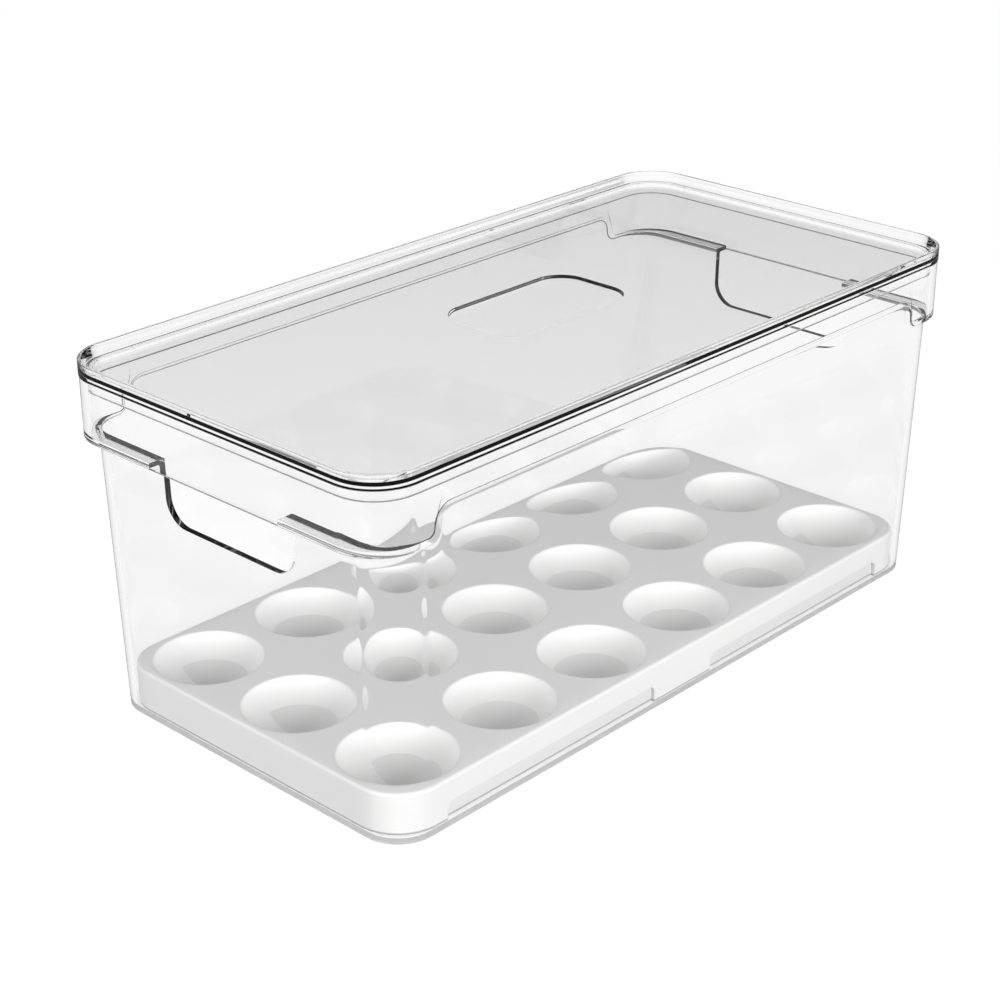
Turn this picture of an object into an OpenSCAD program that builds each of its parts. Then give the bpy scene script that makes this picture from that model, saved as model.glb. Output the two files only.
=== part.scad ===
// Clear storage box with a lift-off lid and a removable tray of round cups.
// The origin is the middle of the base on the surface that the box stands on.
// X runs along the length, Y across the width and Z up.

/* [Lid] */
// Overall length, across the lid's rim
lid_length = 320; // [280:1:400]
// Overall width, across the lid's rim
lid_width = 160; // [150:1:220]
// Radius of the lid's corners in plan
corner_radius = 18.4; // [14:0.2:26]
// Thickness of the rim that stands up around the lid, at its top
rim_wall = 1.2; // [0.9:0.1:4]
// Thickness of that rim at its foot, where its inner face meets the panel
rim_foot = 3.9; // [2:0.1:5]
// Height of the rim above the lid's panel
rim_rise = 3.55; // [0.8:0.05:5]
// Thickness of the lid's panel
panel_thickness = 1.75; // [1.7:0.05:4]
// Height of the step under the panel that sits on the container
rim_step = 0.2; // [0.1:0.1:3]
// Rounding of the lid's top edge
rim_round = 0.3; // [0.2:0.1:0.7]
// How far the rib under the lid reaches down into the container
plug_depth = 4.7; // [3:0.1:9]
// Thickness of the rib under the lid
plug_wall = 2; // [1.4:0.1:3]
// Gap between the lid's rib and the container's collar
lid_clearance = 0.3; // [0.15:0.05:0.6]
// How far the lid stands out past the container's collar
lid_proud = 0.2; // [0:0.05:0.6]
// Length of the sunk pad in the middle of the lid
pad_length = 68; // [40:1:90]
// Width of the sunk pad
pad_width = 39; // [28:1:60]
// Corner radius of the sunk pad
pad_radius = 11.5; // [4:0.5:13]
// Depth of the sunk pad
pad_depth = 1.2; // [0.4:0.1:1.4]

/* [Container] */
// Height of the container without its lid
container_height = 133.5; // [110:0.5:180]
// Height of the collar at the ends, from its foot to the container's top edge
collar_height = 23.3; // [20:0.1:32]
// Wall of the collar
collar_wall = 2.5; // [1.6:0.1:3.2]
// Thickness of the ledge that joins the collar to the walls
ledge_thickness = 1.8; // [1.6:0.1:3.2]
// How far the collar overhangs the end walls at its foot
end_overhang = 6.8; // [5:0.1:10]
// How far the collar overhangs the side walls at its foot
side_overhang = 0.8; // [0.4:0.1:2.4]
// How much higher the collar's foot runs along the sides than at the ends
side_raise = 10.4; // [8:0.2:14]
// Distance from the end of the collar to the bend where its foot rises
bend_inset = 28.8; // [26:0.2:40]
// Radius of the lower curve of that bend
bend_foot_radius = 4.5; // [3.6:0.1:6]
// Radius of the upper curve of that bend
bend_top_radius = 5.8; // [2:0.1:7]
// Thickness of the end and side walls
wall = 2.4; // [1.4:0.1:3]
// Thickness of the floor
floor_thickness = 1.6; // [1.4:0.1:4]
// Angle by which the walls lean outwards
draft_angle = 1.33; // [0.5:0.01:2.5]
// How much tighter the walls' corners are than the collar's, in radius
wall_corner_step = 2; // [0.5:0.1:4]
// How much tighter they are again at the base
base_corner_step = 0.8; // [0:0.1:3]
// Rounding of the base's edge
base_round = 0.3; // [0.2:0.1:2]

/* [Handles] */
// Width of the opening in each end wall
handle_width = 65.4; // [50:0.2:90]
// Height of the opening below the collar's foot
handle_drop = 22.5; // [16:0.5:40]
// Radius of the opening's lower corners
handle_radius = 9.5; // [3:0.5:14]

/* [Tray] */
// Gap between the tray and the walls around it, at the floor
tray_clearance = 0.5; // [0.3:0.1:2]
// How much rounder the tray's corners are than the space around it, in radius
tray_corner_step = 3.6; // [0:0.1:6]
// Thickness of the tray's skirt and deck
tray_wall = 1.8; // [1.2:0.1:2.6]
// Rounding of the tray's top edge
tray_round = 1.2; // [0.4:0.1:2]
// Distance from one cup's centre to the next
cup_pitch = 49.7; // [48:0.1:60]
// Radius of a cup's mouth
cup_mouth_radius = 20.4; // [17:0.1:22]
// Depth of a cup
cup_depth = 13.8; // [10:0.1:17]
// Thickness of a cup's bowl
cup_wall = 1.4; // [1:0.1:1.8]
// Gap between the bowls and the container's floor
cup_lift = 0.8; // [0.2:0.1:4]
// Least width of deck between the outermost cups and the tray's edge
cup_land = 2.4; // [2:0.1:5]
// Height of the shallow recesses in the tray's long sides
recess_height = 7.1; // [4:0.1:10]
// Depth of those recesses
recess_depth = 1.6; // [0.6:0.1:3]
// Radius of the recesses' upper corners
recess_radius = 3; // [1:0.1:3.8]
// Distance from the tray's ends to the recesses
recess_end = 22; // [16:0.5:40]
// Distance between the two recesses in one side
recess_gap = 33; // [16:0.5:60]

/* [Hidden] */

$fn = 96;
hull_fn = 32;
slab = 0.01;
cut_margin = 1;
round_share = 1 - cos(45);
clear_tint = [0.86, 0.89, 0.91, 0.3];
lid_tint = [0.84, 0.87, 0.89, 0.35];
tray_tint = [0.95, 0.95, 0.94];

collar_length = lid_length - 2 * lid_proud;
collar_width = lid_width - 2 * lid_proud;
collar_radius = corner_radius - lid_proud;
collar_foot = container_height - collar_height;
collar_inner_length = collar_length - 2 * collar_wall;
collar_inner_width = collar_width - 2 * collar_wall;
collar_inner_radius = collar_radius - collar_wall;
side_foot = collar_foot + side_raise;
walls_top = side_foot + ledge_thickness;
wall_radius = collar_radius - wall_corner_step;
base_radius = wall_radius - base_corner_step;
bend_x = collar_length / 2 - bend_inset;
handle_foot = collar_foot - handle_drop;
handle_inner_x = walls_length(handle_foot) / 2 - wall - cut_margin;

rim_height = rim_step + panel_thickness + rim_rise;
lid_top = container_height + rim_height;
panel_bottom = container_height + rim_step;
panel_top = panel_bottom + panel_thickness;
plug_length = collar_inner_length - 2 * lid_clearance;
plug_width = collar_inner_width - 2 * lid_clearance;
plug_radius = collar_inner_radius - lid_clearance;

tray_length = walls_length(floor_thickness) - 2 * (wall + tray_clearance);
tray_width = walls_width(floor_thickness) - 2 * (wall + tray_clearance);
tray_radius = walls_radius(floor_thickness) - wall - tray_clearance + tray_corner_step;
tray_height = cup_depth + cup_wall + cup_lift;
tray_top = floor_thickness + tray_height;
cup_ball_radius = (cup_mouth_radius ^ 2 + cup_depth ^ 2) / (2 * cup_depth);
cup_centre_z = tray_top - cup_depth + cup_ball_radius;
cups_along = copies(tray_length);
cups_across = copies(tray_width);
recess_length = (tray_length - recess_gap) / 2 - recess_end;

// Outer length, width and corner radius of the walls at height z
function lean(z) = (z - collar_foot) * tan(draft_angle);
function walls_length(z) = collar_length - 2 * end_overhang + 2 * lean(z);
function walls_width(z) = collar_width - 2 * side_overhang + 2 * lean(z);
function walls_radius(z) = base_radius + (wall_radius - base_radius) * z / collar_foot;
// Number of cups that fit along a side of the tray
function copies(side) = 1 + floor((side - 2 * (cup_mouth_radius + cup_land)) / cup_pitch);

// Upright slab with round corners, from height z upwards
module plate(length, width, radius, z, height) {
    translate([0, 0, z])
        linear_extrude(height) {
            square([length - 2 * radius, width], center = true);
            square([length, width - 2 * radius], center = true);
            for (x = [-1, 1], y = [-1, 1])
                translate([x * (length / 2 - radius), y * (width / 2 - radius)])
                    circle(radius);
        }
}

// Thin layer of the walls at height z, drawn in by inset
module walls_layer(z, inset) {
    plate(walls_length(z) - 2 * inset, walls_width(z) - 2 * inset,
          walls_radius(z) - inset, z, slab, $fn = hull_fn);
}

// Solid block that leans outwards, with its base edge rounded
module walls_block() {
    hull() {
        walls_layer(0, base_round);
        walls_layer(base_round * round_share, base_round * round_share);
        walls_layer(base_round, 0);
        walls_layer(walls_top - slab, 0);
    }
}

// Space inside the walls, above the floor
module walls_space() {
    hull() {
        walls_layer(floor_thickness, wall);
        walls_layer(walls_top + cut_margin, wall);
    }
}

// Outline of the gap below the collar's raised foot, seen from the side and grown by grow
module foot_gap(grow) {
    half = bend_x + grow;
    foot = collar_foot + grow;
    rise = side_raise;
    top_radius = bend_top_radius + grow;
    foot_radius = bend_foot_radius - grow;
    translate([-half, foot - cut_margin])
        square([2 * half, cut_margin + rise - top_radius]);
    translate([-half + top_radius, foot - cut_margin])
        square([2 * (half - top_radius), cut_margin + rise]);
    for (x = [-1, 1]) {
        translate([x * (half - top_radius), foot + rise - top_radius])
            circle(top_radius);
        difference() {
            translate([x * half, foot + (foot_radius - cut_margin) / 2])
                square([2 * foot_radius, foot_radius + cut_margin], center = true);
            translate([x * (half + foot_radius), foot + foot_radius])
                circle(foot_radius);
        }
    }
}

// Everything above the collar's foot line, grown inwards by grow
module above_foot(grow) {
    reach = collar_width + cut_margin;
    rotate([90, 0, 0])
        linear_extrude(reach, center = true)
            difference() {
                translate([-collar_length, collar_foot + grow])
                    square([2 * collar_length, container_height]);
                foot_gap(grow);
            }
}

// Collar around the container's mouth
module collar() {
    intersection() {
        plate(collar_length, collar_width, collar_radius, collar_foot, collar_height);
        above_foot(0);
    }
}

// Space inside the collar, above its ledge
module collar_space() {
    intersection() {
        plate(collar_inner_length, collar_inner_width, collar_inner_radius,
              collar_foot, collar_height + cut_margin);
        above_foot(ledge_thickness);
    }
}

// Opening through an end wall and up through the ledge behind the collar's face
module handle_opening() {
    depth = collar_inner_length / 2 - handle_inner_x;
    height = handle_drop + ledge_thickness + cut_margin;
    half = handle_width / 2;
    translate([handle_inner_x, 0, handle_foot])
        rotate([90, 0, 90])
            linear_extrude(depth) {
                translate([-half, handle_radius])
                    square([handle_width, height - handle_radius]);
                translate([-half + handle_radius, 0])
                    square([handle_width - 2 * handle_radius, height]);
                for (y = [-1, 1])
                    translate([y * (half - handle_radius), handle_radius])
                        circle(handle_radius);
            }
}

// Clear container with its collar and its two handle openings
module container() {
    color(clear_tint)
        difference() {
            union() {
                walls_block();
                collar();
            }
            walls_space();
            collar_space();
            handle_opening();
            mirror([1, 0, 0])
                handle_opening();
        }
}

// Clear lid: a panel inside a raised rim that is thicker at its foot, with a rib below that
// plugs the container
module lid() {
    color(lid_tint)
        difference() {
            union() {
                hull() {
                    plate(lid_length, lid_width, corner_radius,
                          container_height, rim_height - rim_round, $fn = hull_fn);
                    plate(lid_length - 2 * rim_round, lid_width - 2 * rim_round,
                          corner_radius - rim_round, lid_top - slab, slab, $fn = hull_fn);
                }
                plate(plug_length, plug_width, plug_radius,
                      container_height - plug_depth, plug_depth + rim_step);
            }
            hull() {
                plate(lid_length - 2 * rim_foot, lid_width - 2 * rim_foot,
                      corner_radius - rim_foot, panel_top, slab, $fn = hull_fn);
                plate(lid_length - 2 * rim_wall, lid_width - 2 * rim_wall,
                      corner_radius - rim_wall, lid_top, cut_margin, $fn = hull_fn);
            }
            plate(plug_length - 2 * plug_wall, plug_width - 2 * plug_wall,
                  plug_radius - plug_wall, container_height - plug_depth - cut_margin,
                  plug_depth + rim_step + cut_margin);
            plate(pad_length, pad_width, pad_radius, panel_top - pad_depth,
                  pad_depth + cut_margin);
        }
}

// Repeats its child at the centre of every cup
module at_cups() {
    for (i = [0 : cups_along - 1], j = [0 : cups_across - 1])
        translate([(i - (cups_along - 1) / 2) * cup_pitch,
                   (j - (cups_across - 1) / 2) * cup_pitch,
                   cup_centre_z])
            children();
}

// Blocks that cut the recesses in the long sides, grown by grow on their hidden faces
module recess_blocks(grow) {
    height = recess_height + grow;
    length = recess_length + 2 * grow;
    middle = (recess_gap + recess_length) / 2;
    radius = recess_radius + grow;
    for (x = [-1, 1], y = [-1, 1])
        translate([x * middle, y * (tray_width / 2 + cut_margin), floor_thickness])
            rotate([90, 0, 0])
                linear_extrude(2 * (recess_depth + grow + cut_margin), center = true) {
                    translate([-length / 2, -cut_margin])
                        square([length, cut_margin + height - radius]);
                    translate([-length / 2 + radius, -cut_margin])
                        square([length - 2 * radius, cut_margin + height]);
                    for (end = [-1, 1])
                        translate([end * (length / 2 - radius), height - radius])
                            circle(radius);
                }
}

// Solid block of the tray's outline with a rounded top edge, lower than the deck by drop
module tray_block(drop) {
    top = tray_height - drop;
    hull() {
        tray_layer(0, 0);
        tray_layer(top - tray_round, 0);
        tray_layer(top - tray_round * round_share, tray_round * round_share);
        tray_layer(top - slab, tray_round);
    }
}

// Thin layer of the tray at a height above the floor, drawn in by inset
module tray_layer(height, inset) {
    plate(tray_length - 2 * inset, tray_width - 2 * inset, tray_radius - inset,
          floor_thickness + height, slab, $fn = hull_fn);
}

// White tray: a deck on a skirt, with a bowl under each cup's mouth
module cup_tray() {
    color(tray_tint)
        difference() {
            union() {
                difference() {
                    tray_block(0);
                    plate(tray_length - 2 * tray_wall, tray_width - 2 * tray_wall,
                          tray_radius - tray_wall, floor_thickness - cut_margin,
                          tray_height - tray_wall + cut_margin);
                }
                intersection() {
                    tray_block(tray_wall / 2);
                    union() {
                        at_cups()
                            sphere(cup_ball_radius + cup_wall);
                        recess_blocks(tray_wall);
                    }
                }
            }
            at_cups()
                sphere(cup_ball_radius);
            recess_blocks(0);
        }
}

container();
lid();
cup_tray();
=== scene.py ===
import math

import bmesh
import bpy
import numpy as np
from mathutils import Matrix, Vector


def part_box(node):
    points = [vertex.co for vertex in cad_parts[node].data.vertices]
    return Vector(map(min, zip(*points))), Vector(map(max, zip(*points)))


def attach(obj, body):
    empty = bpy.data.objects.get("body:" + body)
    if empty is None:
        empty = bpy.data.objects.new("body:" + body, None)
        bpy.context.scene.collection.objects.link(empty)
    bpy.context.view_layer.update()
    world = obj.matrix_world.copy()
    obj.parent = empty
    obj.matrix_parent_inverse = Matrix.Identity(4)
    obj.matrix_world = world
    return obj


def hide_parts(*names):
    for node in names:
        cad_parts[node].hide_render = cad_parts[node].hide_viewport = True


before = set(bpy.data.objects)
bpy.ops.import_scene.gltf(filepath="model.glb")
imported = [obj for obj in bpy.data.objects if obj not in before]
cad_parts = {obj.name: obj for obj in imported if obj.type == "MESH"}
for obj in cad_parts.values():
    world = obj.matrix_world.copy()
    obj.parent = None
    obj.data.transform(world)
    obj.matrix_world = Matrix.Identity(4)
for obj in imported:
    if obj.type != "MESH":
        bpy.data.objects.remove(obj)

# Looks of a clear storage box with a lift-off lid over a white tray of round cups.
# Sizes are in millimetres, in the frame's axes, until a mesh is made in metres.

MM = 0.001
QUARTER = math.pi / 2
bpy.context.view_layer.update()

# Camera of the photograph
CAMERA_PLACE = (-569.098, -519.829, 410.749)
CAMERA_DOWN = math.radians(24.772)
CAMERA_TURN = math.radians(43.454)
CAMERA_ROLL = math.radians(-0.2055)
CAMERA_LENS = 78.74
CAMERA_SENSOR = 36.0

# Room: what matt and clear surfaces meet, where 1 is white, and the heights on the unit
# sphere between which it darkens above the horizon and pales again overhead
ROOM_MATT = 0.384
ROOM_HORIZON = 0.8
ROOM_DARK = 0.128
ROOM_TOP = 0.656
DARK_BAND = (0.10, 0.20)
TOP_BAND = (0.70, 0.85)

# Floor: half its side and its level in metres, then what each kind of ray meets on it.
# The last one is the strength of a painted glow on the container's underside, which stands in for
# the light that the floor sends into it
FLOOR_HALF = 3.0
FLOOR_LEVEL = -0.0004
FLOOR_SEEN = 0.93
FLOOR_THROUGH = 0.925
FLOOR_MIRRORED = 0.08
FLOOR_MATT = 0.15
UNDERSIDE_PAINTED_GLOW = 0.25

# Soft square lamps, in metres and watts
LAMP_SIZE = 0.9
LAMP_AIM = (0.0, 0.0, 0.03)
KEY_PLACE = (-0.2, -1.5, 0.45)
KEY_POWER = 24.0
FILL_PLACE = (-1.5, 0.2, 0.4)
FILL_POWER = 14.5

# Times that light may turn inside the clear pieces
LIGHT_TURNS = 11


def node_box(name):
    """Lowest and highest corner of a CAD node, in millimetres."""
    low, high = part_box(name)
    return np.array(low) / MM, np.array(high) / MM


box_high = node_box("container")[1]
lid_low, lid_high = node_box("lid")
tray_low, tray_high = node_box("cup_tray")

# Sweeps: how far beside a round edge a row stands that keeps the flat flat, the steps round
# corners and edges, the angle in degrees over which an edge is sharp, and the distance in
# metres within which points are one
CLOSE = 0.04
BESIDE = 0.15
WIDE = 0.2
CORNER_STEPS = 22
BEND_STEPS = 8
HANDLE_STEPS = 9
ROUND_STEPS = 6
EDGE_STEPS = 4
SHARP_ANGLE = 30.0
WELD = 2e-6

# Container: collar, ledge, walls and floor
COLLAR_RADIUS = 18.2
COLLAR_WALL = 2.5
COLLAR_HEIGHT = 23.3
LEDGE = 1.8
END_OVERHANG = 6.8
SIDE_OVERHANG = 0.8
SIDE_RAISE = 10.4
BEND_INSET = 28.8
BEND_FOOT_RADIUS = 4.5
BEND_TOP_RADIUS = 5.8
WALL = 2.4
FLOOR = 1.6
LEAN = math.tan(math.radians(1.33))
WALL_RADIUS = 16.2
BASE_RADIUS = 15.4
BASE_ROUND = 0.3
FLOOR_ROUND = 0.3
EDGE_ROUND = 0.15
FOOT_ROUND = 0.45
UNDER_ROUND = (0.1, 0.4)
LEDGE_ROUND = (0.06, 0.4)
SEAM = 0.15
collar_foot = box_high[2] - COLLAR_HEIGHT

# Container: spare rows by height, spare columns by their distance from the middle, and the
# slack with which places are compared
WALL_ROWS = (30.0, 60.0)
WALL_TOP_ROW = 103.0
COLLAR_ROW = 126.0
COLLAR_INNER_ROW = 126.6
SILL_STEP = 0.6
SIDE_COLUMNS = (80.0, 40.0, 0.0)
END_COLUMNS = (58.0, 46.0)
HAIR = 0.01

# Handle openings
HANDLE_HALF = 32.7
HANDLE_DROP = 22.5
HANDLE_RADIUS = 9.5

# Lid: panel in a raised rim, a plug below and a sunk pad
LID_RADIUS = 18.4
RIM_TOP = 1.2
RIM_FOOT = 3.9
RIM_ROUND = 0.25
RIM_RISE = 3.55
PANEL = 1.75
PLUG_WALL = 2.0
PLUG_GAP = 0.3
PAD_HALF_LENGTH = 34.0
PAD_HALF_WIDTH = 19.5
PAD_RADIUS = 11.5
PAD_DEPTH = 1.2
PAD_ROUND = 0.25
PANEL_ROUND = 0.2
SHOULDER_ROUND = 0.15
PLUG_ROUND = 0.12

# Lid: spare rows beside the pad's edge, the rim and the plug, and how far the columns of an
# end and a side reach, and how many they are
PAD_ROW = 0.9
PANEL_ROW = 14.0
PLUG_ROW = 1.5
LID_END_REACH = 58.0
LID_SIDE_REACH = 138.0
LID_END_COUNT = 9
LID_SIDE_COUNT = 13

# Tray: deck, skirt, recesses and cups, then spare rows beside a lip and over a recess
TRAY_CORNER = 16.11
TRAY_WALL = 1.8
TRAY_ROUND = 1.2
TRAY_LIFT = 0.05
CUP_PITCH = 49.7
CUPS_ALONG = 6
CUPS_ACROSS = 3
CUP_MOUTH = 20.4
CUP_DEPTH = 13.8
CUP_WALL = 1.4
CUP_LIP = 1.0
RECESS_HEIGHT = 7.1
RECESS_DEPTH = 1.6
RECESS_RADIUS = 3.0
RECESS_START = 16.5
RECESS_STOP = 125.6
LIP_ROW = 0.25
EDGE_ROW = 0.5

# Tray: steps along a cell's side, round a corner, over a lip, down a bowl and up its back
SIDE_STEPS = 16
ARC_STEPS = 8
LIP_STEPS = 5
BOWL_STEPS = 13
BACK_STEPS = 11
RECESS_STEPS = 6

# Tray colour: the range it wanders over, then the painted shade in the recesses and the painted
# shadow along the foot, with the recesses' reach along and across the tray and both heights
TRAY_DARKER = (0.86, 0.86, 0.857, 1)
TRAY_LIGHTER = (0.89, 0.89, 0.887, 1)
RECESS_SHADE = (0.775, 0.775, 0.773, 1)
FOOT_SHADE = (0.4, 0.4, 0.4, 1)
RECESS_REACH = (126.5, 72.5, 8.9)
RECESS_BLUR = (0.3, 0.3, 0.1)
FOOT_HEIGHT = 2.35
FOOT_BLUR = 0.25

# Clear plastic: tints of the two pieces, roughness where rubbed, the underside's frosting and
# painted glow, which stands in for the floor's light, the plastic's optical index, and how much of
# a lamp's light goes straight through it
BODY_TINT = (0.99, 0.99, 0.99)
LID_TINT = (0.985, 0.985, 0.985)
RUBBED = 0.01
FROST_AND_PAINTED_GLOW = 0.45
UNDERSIDE_HEIGHT = 0.15
UNDERSIDE_BLUR = 0.05
INDEX = 1.49
LAMP_PASS = (0.97, 0.97, 0.97, 1)


class Loop:
    """Columns round a rectangle with round corners, counterclockwise seen from above.

    On a ring of half length a, half width b and corner radius r, a column stands at
    x = cx (a - r) + ux r + px and y = cy (b - r) + uy r + py. On the straight stretches
    px and py are the marks themselves, drawn in on rings too small for them. kind counts the
    stretches: 0 and 4 are the ends, 2 and 6 the long sides, and the odd ones the corners."""

    SPARE = 0.6

    def __init__(self, end_marks, side_marks, corner_steps):
        turn = np.linspace(0, QUARTER, corner_steps + 1)
        c, s, one, none = np.cos(turn), np.sin(turn), np.ones_like(turn), 0 * turn
        ends, sides = np.asarray(end_marks, float), np.asarray(side_marks, float)
        e1, e0 = np.ones_like(ends), 0 * ends
        s1, s0 = np.ones_like(sides), 0 * sides
        parts = [
            (e1, e1, e0, e0, e0, ends), (one, c, none, one, s, none),
            (s0, s0, sides[::-1], s1, s1, s0), (-one, -s, none, one, c, none),
            (-e1, -e1, e0, e0, e0, ends[::-1]), (-one, -c, none, -one, -s, none),
            (s0, s0, sides, -s1, -s1, s0), (one, s, none, -one, -c, none),
        ]
        table = np.concatenate([np.array(p) for p in parts], axis=1)
        self.cx, self.ux, self.px, self.cy, self.uy, self.py = table
        self.kind = np.concatenate([np.full(len(p[0]), i) for i, p in enumerate(parts)])
        self.reach_x = np.abs(self.px).max() + self.SPARE
        self.reach_y = np.abs(self.py).max() + self.SPARE
        self.count = len(self.cx)

    def ring(self, a, b, r, z, px=None):
        """Points of the ring of half length a, half width b and corner radius r at height z."""
        px = self.px if px is None else px
        draw_x = np.minimum(1, (a - r) / self.reach_x)
        draw_y = np.minimum(1, (b - r) / self.reach_y)
        x = self.cx * (a - r) + self.ux * r + px * draw_x
        y = self.cy * (b - r) + self.uy * r + self.py * draw_y
        return np.stack([x, y, z + 0 * x], axis=1)

    def spine(self, a, b, z):
        """The ring shrunk to the line along its middle, which closes a flat face."""
        return self.ring(max(a - b, 0.0), 0.0, 0.0, z)


def arc(steps):
    """Pairs (1 - sin t, 1 - cos t) for t from nothing to a quarter turn: a fillet's path."""
    turn = np.linspace(0, QUARTER, steps + 1)
    return list(zip(1 - np.sin(turn), 1 - np.cos(turn)))


def rounded(corners):
    """Path of (inset, height) through corners given as (inset, height, radius).

    Each corner becomes an arc that touches both its sides, with a point a little way off on
    either side, which keeps the flats flat in smooth shading. The ends stay as they are."""
    path = [corners[0][:2]]
    for before, corner, after in zip(corners, corners[1:], corners[2:]):
        tip, radius = np.array(corner[:2]), corner[2]
        back, on = np.array(before[:2]) - tip, np.array(after[:2]) - tip
        back, on = back / np.linalg.norm(back), on / np.linalg.norm(on)
        half = math.acos(np.clip(back @ on, -1, 1)) / 2
        middle = tip + (back + on) / np.linalg.norm(back + on) * radius / math.sin(half)
        start, stop = tip + back * radius / math.tan(half), tip + on * radius / math.tan(half)
        turned = math.pi - 2 * half
        t = np.linspace(0, turned, EDGE_STEPS + 1)[:, None]
        swing = np.sin(turned - t) * (start - middle) + np.sin(t) * (stop - middle)
        curve = map(tuple, middle + swing / math.sin(turned))
        path += [tuple(start + back * BESIDE), *curve, tuple(stop + on * BESIDE)]
    return path + [corners[-1][:2]]


def strips(count, width, keep=None):
    """Quads between each of count closed rows of width points and the next, as point numbers.

    keep is a table of which quads stay, one row for each pair of rows."""
    a, b = np.meshgrid(np.arange(count - 1), np.arange(width), indexing="ij")
    low, high, after = a * width, (a + 1) * width, (b + 1) % width
    quads = np.stack([low + b, low + after, high + after, high + b], -1)
    return quads.reshape(-1, 4) if keep is None else quads[keep]


def piece(name, points, faces, node, body, material):
    """Mesh object from points in millimetres and lists of faces, welded, closed and smooth,
    which stands for a CAD node and rides on its body."""
    mesh = bpy.data.meshes.new(name)
    mesh.from_pydata((np.asarray(points) * MM).tolist(), [], [tuple(f) for f in faces])
    work = bmesh.new()
    work.from_mesh(mesh)
    bmesh.ops.remove_doubles(work, verts=work.verts, dist=WELD)
    bmesh.ops.delete(work, geom=[v for v in work.verts if not v.link_faces], context="VERTS")
    bmesh.ops.recalc_face_normals(work, faces=work.faces)
    work.to_mesh(mesh)
    work.free()
    mesh.shade_smooth()
    mesh.set_sharp_from_angle(angle=math.radians(SHARP_ANGLE))
    made = bpy.data.objects.new(name, mesh)
    bpy.context.scene.collection.objects.link(made)
    mesh.materials.append(material)
    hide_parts(node)
    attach(made, body)
    return made


def bend_line():
    """The collar's foot line where it rises, from the end of the box inwards.

    Two arcs that meet upright: a lower one that turns up from the end's foot, and an upper
    one that turns flat at the sides' foot. Gives x, z and the normal into the collar."""
    top = collar_foot + SIDE_RAISE
    bend = box_high[0] - BEND_INSET
    turn = np.linspace(0, QUARTER, BEND_STEPS + 1)
    x = np.concatenate([bend + BEND_FOOT_RADIUS * (1 - np.sin(turn)),
                        bend - BEND_TOP_RADIUS * (1 - np.cos(turn))])
    z = np.concatenate([collar_foot + BEND_FOOT_RADIUS * (1 - np.cos(turn)),
                        top - BEND_TOP_RADIUS * (1 - np.sin(turn))])
    nx = np.concatenate([np.sin(turn), np.cos(turn)])
    nz = np.concatenate([np.cos(turn), np.sin(turn)])
    return x, z, nx, nz


def handle_line():
    """The opening's lower edge, from its right corner to its middle: y and z."""
    turn = np.linspace(QUARTER, 0, HANDLE_STEPS + 1)
    flat = HANDLE_HALF - HANDLE_RADIUS
    y = np.concatenate([flat + HANDLE_RADIUS * np.sin(turn), [flat * 0.5, 0.0]])
    z = collar_foot - HANDLE_DROP + HANDLE_RADIUS * (1 - np.cos(turn))
    return y, np.concatenate([z, z[-1:], z[-1:]])


def mirrored(values, sign=-1):
    """Values from one end to the middle, and back to the other end."""
    return np.concatenate([values, sign * values[-2::-1]])


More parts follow.
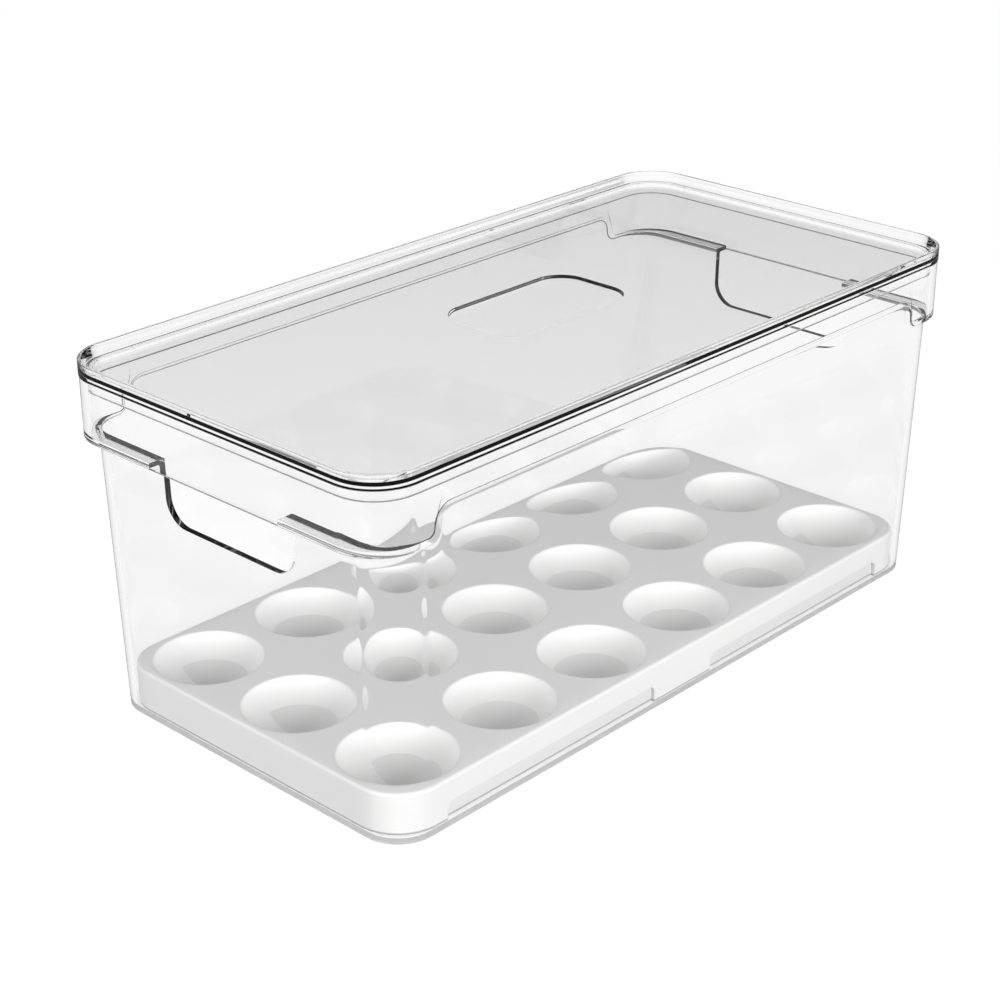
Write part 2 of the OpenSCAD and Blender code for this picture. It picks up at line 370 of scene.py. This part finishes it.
def build_container(material):
    """Clear container: one profile swept round the box, with its handles cut out.

    Every column carries the collar's foot point and normal, so the rows of the ledge follow
    the foot line, and in the handles' columns the wall's rows are squeezed under the opening."""
    bend_x, bend_z, bend_nx, bend_nz = bend_line()
    top = box_high[2] - SEAM
    foot_at_side = collar_foot + SIDE_RAISE
    handle_y, handle_z = handle_line()
    even = np.linspace(bend_x[0], bend_x[-1], len(bend_x))
    middle = np.array(SIDE_COLUMNS)
    ends = -np.concatenate([END_COLUMNS, handle_y])
    loop = Loop(mirrored(ends), mirrored(-np.concatenate([even, middle])), CORNER_STEPS)

    def along_side(values, filler, sign):
        """Spreads values given for the bends over all the long sides' columns."""
        half = np.concatenate([values, np.full(len(middle), filler)])
        spread = np.full(loop.count, 0.0)
        rising = mirrored(half * sign, sign)
        spread[loop.kind == 2] = rising[::-1]
        spread[loop.kind == 6] = rising
        return spread

    side = (loop.kind == 2) | (loop.kind == 6)
    foot_x = along_side(bend_x, 0.0, -1)
    plain = side & (np.abs(loop.px) < bend_x[-1] - 1)
    foot_x[plain] = loop.px[plain]
    foot_z = np.where(side, along_side(bend_z, foot_at_side, 1), collar_foot)
    normal_x = along_side(bend_nx, 0.0, -1)
    normal_z = np.where(side, along_side(bend_nz, 1.0, 1), 1.0)
    arc_top = collar_foot - HANDLE_DROP + HANDLE_RADIUS
    end = (loop.kind == 0) | (loop.kind == 4)
    sill = np.full(loop.count, arc_top)
    sill_half = np.concatenate([[arc_top, arc_top], handle_z])
    sill[loop.kind == 0] = mirrored(sill_half, 1)
    sill[loop.kind == 4] = mirrored(sill_half, 1)
    inside = end & (np.abs(loop.py) <= HANDLE_HALF + HAIR)
    cut = inside & np.roll(inside, -1)
    low = BASE_ROUND + 2 * BESIDE

    def wall_ring(z, inset, px=None):
        """Ring on the leaning wall, or inset from it, at height z."""
        lean = (z - collar_foot) * LEAN
        radius = BASE_RADIUS + (WALL_RADIUS - BASE_RADIUS) * z / collar_foot
        return loop.ring(box_high[0] - END_OVERHANG + lean - inset,
                         box_high[1] - SIDE_OVERHANG + lean - inset, radius - inset, z, px)

    def wall_at(z, inset):
        """Ring of the wall whose heights are squeezed under the sill in the handles' columns."""
        squeezed = low + (z - low) * (sill - low) / (arc_top - low) if z > low else z
        return wall_ring(squeezed, inset)

    def wall_foot(rise, inset):
        """Ring of the wall at the collar's foot line, moved by rise along its normal."""
        return wall_ring(foot_z + rise * normal_z, inset, foot_x + rise * normal_x)

    def collar_at(z, inset):
        """Ring on the upright collar, or inset from it, at height z."""
        return loop.ring(box_high[0] - inset, box_high[1] - inset, COLLAR_RADIUS - inset, z)

    def collar_foot_ring(rise, inset):
        """Ring of the collar at its foot line, moved by rise along its normal."""
        return loop.ring(box_high[0] - inset, box_high[1] - inset, COLLAR_RADIUS - inset,
                         foot_z + rise * normal_z, foot_x + rise * normal_x)

    outward = loop.ux ** 2
    under_round, inner_round = (at_side + (at_end - at_side) * outward
                                for at_side, at_end in (UNDER_ROUND, LEDGE_ROUND))
    base_a = box_high[0] - END_OVERHANG - collar_foot * LEAN
    base_b = box_high[1] - SIDE_OVERHANG - collar_foot * LEAN
    rows = [loop.spine(base_a, base_b, 0.0), wall_at(0.0, BASE_ROUND + 2 * WIDE)]
    rows += [wall_at(BASE_ROUND * rise, BASE_ROUND * inset) for inset, rise in arc(ROUND_STEPS)]
    rows += [wall_at(z, 0.0) for z in (low, *WALL_ROWS, arc_top - SILL_STEP, arc_top)]
    sill_out = len(rows) - 1
    rows += [wall_at(WALL_TOP_ROW, 0.0), wall_foot(-UNDER_ROUND[1] - 2 * BESIDE, 0.0)]
    rows += [wall_foot(-under_round * math.sin(t), -under_round * math.cos(t))
             for t in np.linspace(0, QUARTER, EDGE_STEPS)]
    rows.append(wall_foot(0.0, -under_round - CLOSE))
    rows.append(loop.ring(box_high[0] - COLLAR_WALL, box_high[1] - FOOT_ROUND - 2 * CLOSE,
                          COLLAR_RADIUS - COLLAR_WALL, foot_z, foot_x))
    split = len(rows) - 1
    rows.append(collar_foot_ring(0.0, FOOT_ROUND + CLOSE))
    rows += [collar_foot_ring(FOOT_ROUND * rise, FOOT_ROUND * inset)
             for inset, rise in arc(EDGE_STEPS)]
    rows += [collar_foot_ring(FOOT_ROUND + BESIDE, 0.0), collar_at(COLLAR_ROW, 0.0),
             collar_at(top - EDGE_ROUND - BESIDE, 0.0)]
    rows += [collar_at(top - EDGE_ROUND * inset, EDGE_ROUND * rise)
             for inset, rise in arc(EDGE_STEPS)]
    rows += [collar_at(top, EDGE_ROUND + WIDE / 2),
             collar_at(top, COLLAR_WALL - EDGE_ROUND - WIDE / 2)]
    rows += [collar_at(top - EDGE_ROUND * rise, COLLAR_WALL - EDGE_ROUND * inset)
             for inset, rise in arc(EDGE_STEPS)]
    rows += [collar_at(top - EDGE_ROUND - BESIDE, COLLAR_WALL),
             collar_at(COLLAR_INNER_ROW, COLLAR_WALL),
             collar_foot_ring(LEDGE + inner_round + WIDE, COLLAR_WALL)]
    ledge_in = len(rows)
    rows += [collar_foot_ring(LEDGE + inner_round * inset, COLLAR_WALL + inner_round * rise)
             for inset, rise in arc(EDGE_STEPS)]
    rows.append(wall_foot(LEDGE, WALL - inner_round - CLOSE / 2))
    rows += [wall_foot(LEDGE - inner_round * rise, WALL - inner_round * inset)
             for inset, rise in arc(EDGE_STEPS)]
    rows += [wall_foot(LEDGE - inner_round - WIDE, WALL), wall_at(WALL_TOP_ROW, WALL),
             wall_at(arc_top, WALL)]
    sill_in = len(rows) - 1
    rows += [wall_at(z, WALL)
             for z in (arc_top - SILL_STEP, *WALL_ROWS[::-1], FLOOR + FLOOR_ROUND + WIDE)]
    rows += [wall_at(FLOOR + FLOOR_ROUND * inset, WALL + FLOOR_ROUND * rise)
             for inset, rise in arc(EDGE_STEPS)]
    rows += [wall_at(FLOOR, WALL + 2 * FLOOR_ROUND),
             loop.spine(base_a - WALL, base_b - WALL, FLOOR)]

    count, width = len(rows), loop.count
    keep = np.ones((count - 1, width), bool)
    keep[sill_out:split, cut] = False
    keep[ledge_in:sill_in, cut] = False
    quads = strips(count, width, keep)
    first = np.flatnonzero(cut)
    after = (first + 1) % width

    def bridge(row_a, row_b):
        """Quads between two rows that aren't neighbours, over the handles' columns."""
        return np.stack([row_a * width + first, row_a * width + after,
                         row_b * width + after, row_b * width + first], -1)

    borders = np.flatnonzero(inside & ~(np.roll(inside, 1) & np.roll(inside, -1)))
    path = list(range(sill_out, split + 1)) + list(range(ledge_in, sill_in + 1))
    cheeks = [[row * width + column for row in path] for column in borders]
    faces = [*quads.tolist(), *bridge(sill_out, sill_in).tolist(),
             *bridge(ledge_in, split).tolist(), *cheeks]
    return piece("clear_container", np.concatenate(rows), faces,
                 "container", "box", material)


def build_lid(material):
    """Clear lid: one closed profile swept round it, from the sunk pad over the rim to the plug."""
    loop = Loop(np.linspace(-LID_END_REACH, LID_END_REACH, LID_END_COUNT),
                np.linspace(-LID_SIDE_REACH, LID_SIDE_REACH, LID_SIDE_COUNT), CORNER_STEPS)
    half_a, half_b, top = lid_high
    foot, low = box_high[2], lid_low[2]
    panel = top - RIM_RISE
    plug = half_a - (box_high[0] - COLLAR_WALL - PLUG_GAP)
    inner = plug + PLUG_WALL
    sunk = panel - PAD_DEPTH
    pad = rounded([(PAD_ROW, sunk), (0.0, sunk, PAD_ROUND), (0.0, panel, PAD_ROUND),
                   (-PAD_ROW, panel)])
    rim = rounded([(RIM_FOOT + PANEL_ROW, panel), (RIM_FOOT, panel, PANEL_ROUND),
                   (RIM_TOP, top, PANEL_ROUND), (0.0, top, RIM_ROUND), (0.0, foot, EDGE_ROUND),
                   (plug, foot, SHOULDER_ROUND), (plug, low, PLUG_ROUND),
                   (inner, low, PLUG_ROUND), (inner, panel - PANEL, PANEL_ROUND),
                   (inner + PLUG_ROW, panel - PANEL)])
    rows = [loop.spine(PAD_HALF_LENGTH, PAD_HALF_WIDTH, sunk)]
    rows += [loop.ring(PAD_HALF_LENGTH - x, PAD_HALF_WIDTH - x, PAD_RADIUS - x, z)
             for x, z in pad]
    rows += [loop.ring(half_a - x, half_b - x, LID_RADIUS - x, z) for x, z in rim]
    rows.append(loop.spine(half_a - inner, half_b - inner, panel - PANEL))
    quads = strips(len(rows), loop.count)
    return piece("clear_lid", np.concatenate(rows), quads.tolist(),
                 "lid", "lid", material)


def cell_edges(half, cups):
    """Borders of the cups' cells along one side of the tray, whose half length is half."""
    inner = (np.arange(1, cups) - cups / 2) * CUP_PITCH
    return np.concatenate([[-half], inner, [half]])


def tray_marks(half, corner, cups):
    """Marks along one side of the deck: SIDE_STEPS a cell, and fewer in the end cells,
    whose remaining steps go round the corner."""
    edges = cell_edges(half, cups)
    end_steps = SIDE_STEPS - ARC_STEPS // 2
    first = np.linspace(edges[0] + corner, edges[1], end_steps + 1)[1:]
    cells = [np.linspace(edges[i], edges[i + 1], SIDE_STEPS + 1)[1:] for i in range(1, cups - 1)]
    last = -first[::-1]
    return np.concatenate([first, *cells, last[1:]])


def cell_outlines(half_a, half_b, corner):
    """Outline of every cup's cell, counterclockwise from its lower right corner, and the cups'
    centres. The four sides go in equal steps, and a corner cell has the tray's round corner,
    whose points stand at the corner radius from its centre, half of them on each side."""
    xs, ys = cell_edges(half_a, CUPS_ALONG), cell_edges(half_b, CUPS_ACROSS)
    end_steps = SIDE_STEPS - ARC_STEPS // 2
    outlines, centres = [], []
    for i in range(CUPS_ALONG):
        for j in range(CUPS_ACROSS):
            x0, x1, y0, y1 = xs[i], xs[i + 1], ys[j], ys[j + 1]
            corners = [(x1, y0), (x1, y1), (x0, y1), (x0, y0)]
            right, left = i == CUPS_ALONG - 1, i == 0
            far, near = j == CUPS_ACROSS - 1, j == 0
            outer = [right and near, right and far, left and far, left and near]
            line = []
            for k in range(4):
                start, stop = np.array(corners[k]), np.array(corners[(k + 1) % 4])
                way = (stop - start) / np.linalg.norm(stop - start)
                a = start + way * corner if outer[k] else start
                b = stop - way * corner if outer[(k + 1) % 4] else stop
                if outer[k]:
                    before = np.array([way[1], -way[0]])
                    centre = start + way * corner - before * corner
                    turn = np.linspace(0, QUARTER, ARC_STEPS + 1)
                    half_turn = turn[ARC_STEPS // 2:-1]
                    line.append(centre + corner * (np.outer(np.sin(half_turn), before)
                                                   - np.outer(np.cos(half_turn), way)))
                steps = end_steps if outer[k] or outer[(k + 1) % 4] else SIDE_STEPS
                t = np.linspace(0, 1, steps + 1)[:-1, None]
                line.append(a + (b - a) * t)
                if outer[(k + 1) % 4]:
                    after = np.array([-way[1], way[0]])
                    centre = stop - way * corner + after * corner
                    turn = np.linspace(0, QUARTER, ARC_STEPS + 1)[:ARC_STEPS // 2]
                    line.append(centre + corner * (np.outer(np.sin(turn), way)
                                                   - np.outer(np.cos(turn), after)))
            outlines.append(np.concatenate(line))
            centres.append(((i - (CUPS_ALONG - 1) / 2) * CUP_PITCH,
                            (j - (CUPS_ACROSS - 1) / 2) * CUP_PITCH))
    return np.array(outlines), np.array(centres)


def cups(half_a, half_b, corner, level, rings):
    """Deck with a bowl in each cell: from the cell's outline, rings of the radii and heights
    in rings go round the cup's centre at the outline's own angles, down to the pole."""
    outlines, centres = cell_outlines(half_a, half_b, corner)
    away = outlines - centres[:, None, :]
    away /= np.linalg.norm(away, axis=2, keepdims=True)
    layers = [np.dstack([outlines, np.full(outlines.shape[:2], level)])]
    for radius, z in rings:
        flat = centres[:, None, :] + radius * away
        layers.append(np.dstack([flat, np.full(flat.shape[:2], z)]))
    points = np.stack(layers, axis=1)
    cells, count, width, _ = points.shape
    quads = strips(count, width)
    faces = (quads[None] + (np.arange(cells) * count * width)[:, None, None]).reshape(-1, 4)
    return points.reshape(-1, 3), faces


def recess_line(start, stop, radius, height, floor_z, marks):
    """The recess's edge over one quarter of a long side, from the middle outwards.

    marks are the deck's own places. Of the columns, those at the recess's ends go round its
    upper corners and the ones between are spread evenly. Gives x, the edge's z, and a flag."""
    steps = RECESS_STEPS
    first = int(np.argmin(np.abs(marks - start)))
    last = int(np.argmin(np.abs(marks - stop)))
    turn = np.linspace(0, QUARTER, steps + 1)
    top = floor_z + height
    x = np.array(marks, float)
    z = np.full(len(marks), top - radius)
    x[: first + 1] = np.linspace(0, start, first + 1)
    x[first : first + steps + 1] = start + radius * (1 - np.cos(turn))
    z[first : first + steps + 1] = top - radius * (1 - np.sin(turn))
    x[first + steps : last - steps + 1] = np.linspace(
        start + radius, stop - radius, last - first - 2 * steps + 1)
    z[first + steps : last - steps + 1] = top
    x[last - steps : last + 1] = stop - radius * (1 - np.sin(turn))
    z[last - steps : last + 1] = top - radius * (1 - np.cos(turn))
    x[last:] = np.linspace(stop, marks[-1] + EDGE_ROW, len(marks) - last)
    flag = np.zeros(len(marks), bool)
    flag[first : last + 1] = True
    return x, z, flag


def skirt(loop, inset, depth, top_rows, start_z, edge, floor_z):
    """The tray's side face: rows down to the recesses' edge, then the plain stretches down to
    the bottom, and in the recesses a ceiling, a back face and two cheeks.

    Gives points, quads, the ring along the plain bottom, the ring that steps back in the
    recesses, and the recesses' columns."""
    x, edge_z, flag = edge
    side = (loop.kind == 2) | (loop.kind == 6)
    px, line = loop.px.copy(), np.full(loop.count, edge_z[0])
    inside = np.zeros(loop.count, bool)
    for kind, turned in ((2, -1), (6, 1)):
        at = loop.kind == kind
        px[at] = turned * mirrored(-x[::-1])
        line[at] = mirrored(edge_z[::-1], 1)
        inside[at] = mirrored(flag[::-1].astype(float), 1) > 0.5
    a, b, r = tray_high[0], tray_high[1], TRAY_CORNER

    def ring(z, drawn):
        """Ring of the skirt, drawn in by drawn, at height z."""
        return loop.ring(a - drawn, b - drawn, r - drawn, z, px)

    scale = (line - start_z) / (edge_z[0] - start_z)
    hold = start_z + (edge_z[0] + EDGE_ROW - start_z) * scale
    rows = [*top_rows, ring(hold, inset), ring(line, inset)]
    plain_low = ring(floor_z, inset)
    edge_in, back_low = ring(line, inset + depth), ring(floor_z, inset + depth)
    width = loop.count
    base = len(rows) * width
    rim = len(rows) - 1
    points = np.concatenate([*rows, plain_low, edge_in, back_low])
    quads = [strips(len(rows), width)]
    number = np.arange(width)
    after = (number + 1) % width
    pocket = inside & np.roll(inside, -1) & side
    edge_row, plain_row = rim * width, base
    in_row, back_row = base + width, base + 2 * width

    def between(row_a, row_b, chosen):
        """Quads between two rows over the chosen columns."""
        n, m = number[chosen], after[chosen]
        return np.stack([row_a + n, row_a + m, row_b + m, row_b + n], -1)

    quads += [between(edge_row, plain_row, ~pocket), between(edge_row, in_row, pocket),
              between(in_row, back_row, pocket)]
    borders = number[inside & ~(np.roll(pocket, 1) & pocket)]
    quads.append(np.stack([row + borders for row in (edge_row, in_row, back_row, plain_row)], -1))
    low = np.where(inside[:, None], back_low, plain_low)
    return points, np.concatenate(quads), plain_low, low, pocket


def build_tray(material):
    """White tray: deck with bowls, a skirt with recesses, and the same again inside as a shell."""
    a, b, top = tray_high[0], tray_high[1], tray_high[2]
    floor_z = tray_low[2] + TRAY_LIFT
    ball = (CUP_MOUTH ** 2 + CUP_DEPTH ** 2) / (2 * CUP_DEPTH)
    ball_z = top - CUP_DEPTH + ball

    lip_out = math.sqrt((ball + CUP_LIP) ** 2 - (ball_z - top + CUP_LIP) ** 2)
    lip_in = lip_out * ball / (ball + CUP_LIP)
    lip_z = ball_z - (ball_z - top + CUP_LIP) * ball / (ball + CUP_LIP)
    lip_turn = math.atan2(lip_out - lip_in, lip_z - top + CUP_LIP)
    lip = [(lip_out - CUP_LIP * math.sin(t), top - CUP_LIP + CUP_LIP * math.cos(t))
           for t in np.linspace(0, lip_turn, LIP_STEPS + 1)]
    dish_start = math.asin(lip_in / ball)
    dish = [(ball * math.sin(t), ball_z - ball * math.cos(t))
            for t in np.linspace(dish_start, 0, BOWL_STEPS + 1)[1:]]
    deck_points, deck_faces = cups(a - TRAY_ROUND, b - TRAY_ROUND, TRAY_CORNER - TRAY_ROUND, top,
                                   [(lip_out + LIP_ROW, top), *lip, *dish])

    under = top - TRAY_WALL
    shell = ball + CUP_WALL
    back_start = math.acos((ball_z - under) / shell)
    back = [(shell * math.sin(t), ball_z - shell * math.cos(t))
            for t in np.linspace(back_start, 0, BACK_STEPS + 1)]
    under_points, under_faces = cups(a - TRAY_WALL, b - TRAY_WALL, TRAY_CORNER - TRAY_WALL,
                                     under, back)

    def skirt_loop(drawn):
        """Columns that stand where the deck's own outline has its points, drawn in by drawn."""
        return Loop(tray_marks(b - drawn, TRAY_CORNER - drawn, CUPS_ACROSS),
                    tray_marks(a - drawn, TRAY_CORNER - drawn, CUPS_ALONG), ARC_STEPS)

    def half_marks(loop):
        """The loop's own marks from the middle of a long side outwards."""
        values = loop.px[loop.kind == 6]
        return values[values > -HAIR]

    outer = skirt_loop(TRAY_ROUND)
    outer_rows = [outer.ring(a - TRAY_ROUND * inset, b - TRAY_ROUND * inset,
                             TRAY_CORNER - TRAY_ROUND * inset, top - TRAY_ROUND * rise)
                  for inset, rise in arc(ROUND_STEPS)]
    upright = top - TRAY_ROUND - WIDE
    outer_rows.append(outer.ring(a, b, TRAY_CORNER, upright))
    edge = recess_line(RECESS_START, RECESS_STOP, RECESS_RADIUS, RECESS_HEIGHT, tray_low[2],
                       half_marks(outer))
    side = skirt(outer, 0.0, RECESS_DEPTH, outer_rows, upright, edge, floor_z)

    inner = skirt_loop(TRAY_WALL)
    inner_rows = [inner.ring(a - TRAY_WALL, b - TRAY_WALL, TRAY_CORNER - TRAY_WALL, under)]
    inner_edge = recess_line(RECESS_START - TRAY_WALL, RECESS_STOP + TRAY_WALL,
                             RECESS_RADIUS + TRAY_WALL, RECESS_HEIGHT + TRAY_WALL, tray_low[2],
                             half_marks(inner))
    inside = skirt(inner, TRAY_WALL, RECESS_DEPTH, inner_rows, under, inner_edge, floor_z)

    points, faces, count = [], [], 0
    for block_points, block_faces in ((deck_points, deck_faces), (under_points, under_faces),
                                      side[:2], inside[:2]):
        points.append(block_points)
        faces.append(block_faces + count)
        count += len(block_points)
    width = outer.count
    rim = np.concatenate([side[2], side[3], inside[3], inside[2]])
    keep = np.ones((3, width), bool)
    keep[0, side[4]] = False
    keep[2, inside[4]] = False
    faces.append(strips(4, width, keep) + count)
    points.append(rim)
    return piece("cup_tray_shell", np.concatenate(points), np.concatenate(faces).tolist(),
                 "cup_tray", "tray", material)


class Wire:
    """An output socket in an expression: every operator adds a Math node to its tree."""

    def __init__(self, socket):
        self.socket = socket

    def math(self, operation, first, second):
        """One Math node on two values."""
        tree = Tree(self.socket.id_data)
        return tree.node("ShaderNodeMath", {"operation": operation}, {0: first, 1: second})

    def __add__(self, other):
        return self.math("ADD", self, other)

    __radd__ = __add__

    def __sub__(self, other):
        return self.math("SUBTRACT", self, other)

    def __rsub__(self, other):
        return self.math("SUBTRACT", other, self)

    def __mul__(self, other):
        return self.math("MULTIPLY", self, other)

    __rmul__ = __mul__


class Tree:
    """A node tree that nodes are added to."""

    def __init__(self, tree):
        self.tree = tree

    @classmethod
    def emptied(cls, thing):
        """The tree of a material or a world, with nothing in it."""
        thing.use_nodes = True
        thing.node_tree.nodes.clear()
        return cls(thing.node_tree)

    def node(self, kind, settings=None, inputs=None, out=0):
        """Adds one node: settings first, then its sockets' values or links. Gives one output."""
        made = self.tree.nodes.new(kind)
        for name, value in (settings or {}).items():
            setattr(made, name, value)
        for name, value in (inputs or {}).items():
            if isinstance(value, Wire):
                self.tree.links.new(value.socket, made.inputs[name])
            else:
                made.inputs[name].default_value = value
        return Wire(made.outputs[out]) if made.outputs else None

    def ray(self, kind):
        """One for rays of a kind, such as Is Camera Ray, and nothing for others."""
        return self.node("ShaderNodeLightPath", out=kind)

    def between(self, value, low, high, to_low, to_high):
        """Value spread from one range to another, smoothly, and held at its ends."""
        return self.node("ShaderNodeMapRange", {"interpolation_type": "SMOOTHSTEP"},
                         {"Value": value, "From Min": low, "From Max": high,
                          "To Min": to_low, "To Max": to_high})

    def below(self, value, edge, blur):
        """One below an edge and nothing above it, with a soft step of blur to either side, both
        in millimetres, for a value in metres."""
        return self.between(value, (edge - blur) * MM, (edge + blur) * MM, 1.0, 0.0)

    def mix(self, share, first, second):
        """Colour between two colours."""
        return self.node("ShaderNodeMix", {"data_type": "RGBA"}, {0: share, 6: first, 7: second}, 2)


def clear_plastic(name, tint, frost_and_glow):
    """Clear moulded plastic: faint flow waves, fine rub marks, lamps let through, and a rough
    underside with a painted glow, which stands in for light from the white surface it stands on."""
    material = bpy.data.materials.new(name)
    tree = Tree.emptied(material)
    place = tree.node("ShaderNodeTexCoord", out="Object")
    waves = tree.node("ShaderNodeTexNoise", None,
                      {"Vector": place, "Scale": 14.0, "Detail": 1.0}, "Fac")
    rubs = tree.node("ShaderNodeTexNoise", None,
                     {"Vector": place, "Scale": 320.0, "Detail": 2.0, "Roughness": 0.6}, "Fac")
    bump = tree.node("ShaderNodeBump", None,
                     {"Height": waves, "Strength": 0.02, "Distance": 0.002}, "Normal")
    height = tree.node("ShaderNodeSeparateXYZ", None, {0: place}, 2)
    under = tree.below(height, UNDERSIDE_HEIGHT, UNDERSIDE_BLUR) * frost_and_glow
    clear = tree.node("ShaderNodeBsdfPrincipled", None, {
        "Base Color": (*tint, 1.0), "IOR": INDEX, "Transmission Weight": 1.0,
        "Roughness": tree.between(rubs, 0.5, 0.8, 0.0, RUBBED) + under, "Normal": bump,
        # Painted glow on the underside, in place of the light that the floor sends into it
        "Emission Color": tree.mix(under, (0, 0, 0, 1), (1, 1, 1, 1)),
        "Emission Strength": UNDERSIDE_PAINTED_GLOW}, "BSDF")
    open_way = tree.node("ShaderNodeBsdfTransparent", None, {"Color": LAMP_PASS}, "BSDF")
    for kind in ("Is Diffuse Ray", "Is Shadow Ray"):
        clear = tree.node("ShaderNodeMixShader", None,
                          {0: tree.ray(kind), 1: clear, 2: open_way}, "Shader")
    tree.node("ShaderNodeOutputMaterial", None, {"Surface": clear})
    return material


def white_plastic(name):
    """White moulded plastic with a fine grain and a soft sheen, with painted shade in the recesses
    and a painted shadow along the foot, where it stands on the container's floor."""
    material = bpy.data.materials.new(name)
    tree = Tree.emptied(material)
    place = tree.node("ShaderNodeTexCoord", out="Object")
    clouds = tree.node("ShaderNodeTexNoise", None,
                       {"Vector": place, "Scale": 9.0, "Detail": 2.0}, "Fac")
    grain = tree.node("ShaderNodeTexNoise", None,
                      {"Vector": place, "Scale": 2600.0, "Detail": 1.0}, "Fac")
    colour = tree.mix(tree.between(clouds, 0.3, 0.7, 0.0, 1.0), TRAY_DARKER, TRAY_LIGHTER)
    # Painted shade: inside the recesses' reach the colour turns darker, in place of the shade under
    # their ceiling
    way = tree.node("ShaderNodeVectorMath", {"operation": "ABSOLUTE"}, {0: place})
    places = [tree.node("ShaderNodeSeparateXYZ", None, {0: way}, axis) for axis in range(3)]
    along, across, up = map(tree.below, places, RECESS_REACH, RECESS_BLUR)
    colour = tree.mix(along * across * up, colour, RECESS_SHADE)
    # Painted shadow: a dark band up to the foot's height, in place of the shadow where the skirt
    # stands on the floor
    colour = tree.mix(tree.below(places[2], FOOT_HEIGHT, FOOT_BLUR), colour, FOOT_SHADE)
    bump = tree.node("ShaderNodeBump", None,
                     {"Height": grain, "Strength": 0.05, "Distance": 0.0002}, "Normal")
    skin = tree.node("ShaderNodeBsdfPrincipled", None,
                     {"Base Color": colour, "Roughness": tree.between(grain, 0.3, 0.7, 0.42, 0.5),
                      "IOR": INDEX, "Normal": bump}, "BSDF")
    tree.node("ShaderNodeOutputMaterial", None, {"Surface": skin})
    return material


def light_world():
    """White to the camera, a soft grey room to matt surfaces, and to clear ones a room that is
    pale at the horizon, nearly black above it, and pale again overhead."""
    world = bpy.data.worlds.new("studio")
    bpy.context.scene.world = world
    tree = Tree.emptied(world)
    way = tree.node("ShaderNodeTexCoord", out="Generated")
    up = tree.node("ShaderNodeSeparateXYZ", None, {0: way}, 2)
    seen, matt = tree.ray("Is Camera Ray"), tree.ray("Is Diffuse Ray")
    clear = (tree.between(up, *DARK_BAND, ROOM_HORIZON, ROOM_DARK)
             + tree.between(up, *TOP_BAND, 0.0, ROOM_TOP))
    strength = seen + matt * ROOM_MATT + (1.0 - seen) * (1.0 - matt) * clear
    back = tree.node("ShaderNodeBackground", None, {"Color": (1, 1, 1, 1), "Strength": strength})
    tree.node("ShaderNodeOutputWorld", None, {"Surface": back})


def build_floor():
    """Plain pale floor: white to the camera and through clear pieces, with the object's shadow."""
    mesh = bpy.data.meshes.new("floor")
    corners = ((-1, -1), (1, -1), (1, 1), (-1, 1))
    mesh.from_pydata([(x * FLOOR_HALF, y * FLOOR_HALF, FLOOR_LEVEL) for x, y in corners],
                     [], [(0, 1, 2, 3)])
    floor = bpy.data.objects.new("floor", mesh)
    bpy.context.scene.collection.objects.link(floor)
    material = bpy.data.materials.new("pale_floor")
    tree = Tree.emptied(material)
    through = tree.ray("Is Transmission Ray")
    mirrored_only = tree.ray("Is Glossy Ray") * (1.0 - through)
    strength = (tree.ray("Is Camera Ray") * FLOOR_SEEN + through * FLOOR_THROUGH
                + mirrored_only * FLOOR_MIRRORED)
    glow = tree.node("ShaderNodeEmission", None, {"Strength": strength})
    matt = tree.node("ShaderNodeBsdfDiffuse", None,
                     {"Color": (FLOOR_MATT, FLOOR_MATT, FLOOR_MATT, 1)})
    both = tree.node("ShaderNodeAddShader", None, {0: glow, 1: matt})
    tree.node("ShaderNodeOutputMaterial", None, {"Surface": both})
    mesh.materials.append(material)


def add_lamp(name, place, power):
    """Soft square lamp that looks at the object from place. It lights matt surfaces only."""
    lamp = bpy.data.lights.new(name, "AREA")
    lamp.shape = "SQUARE"
    lamp.size = LAMP_SIZE
    lamp.energy = power
    made = bpy.data.objects.new(name, lamp)
    bpy.context.scene.collection.objects.link(made)
    made.location = place
    toward = Vector(LAMP_AIM) - Vector(place)
    made.rotation_euler = toward.to_track_quat("-Z", "Y").to_euler()
    made.visible_camera = False
    made.visible_glossy = False
    made.visible_transmission = False


def build_camera():
    """Camera at the photograph's place, from its down, turn and roll angles."""
    data = bpy.data.cameras.new("camera")
    data.lens = CAMERA_LENS
    data.sensor_width = CAMERA_SENSOR
    camera = bpy.data.objects.new("camera", data)
    bpy.context.scene.collection.objects.link(camera)
    forward = Vector((math.cos(CAMERA_DOWN) * math.cos(CAMERA_TURN),
                      math.cos(CAMERA_DOWN) * math.sin(CAMERA_TURN), -math.sin(CAMERA_DOWN)))
    level = forward.cross(Vector((0, 0, 1))).normalized()
    upright = level.cross(forward)
    right = math.cos(CAMERA_ROLL) * level + math.sin(CAMERA_ROLL) * upright
    up = math.cos(CAMERA_ROLL) * upright - math.sin(CAMERA_ROLL) * level
    turned = Matrix((right, up, -forward)).transposed().to_4x4()
    camera.matrix_world = Matrix.Translation(Vector(CAMERA_PLACE) * MM) @ turned
    bpy.context.scene.camera = camera


build_camera()
build_container(clear_plastic("clear_body_plastic", BODY_TINT, FROST_AND_PAINTED_GLOW))
build_lid(clear_plastic("clear_lid_plastic", LID_TINT, 0.0))
build_tray(white_plastic("white_tray_plastic"))
light_world()
build_floor()
add_lamp("key", KEY_PLACE, KEY_POWER)
add_lamp("fill", FILL_PLACE, FILL_POWER)
for limit in ("glossy_bounces", "transmission_bounces", "max_bounces"):
    setattr(bpy.context.scene.cycles, limit, LIGHT_TURNS)
bpy.context.scene.view_settings.view_transform = "Standard"
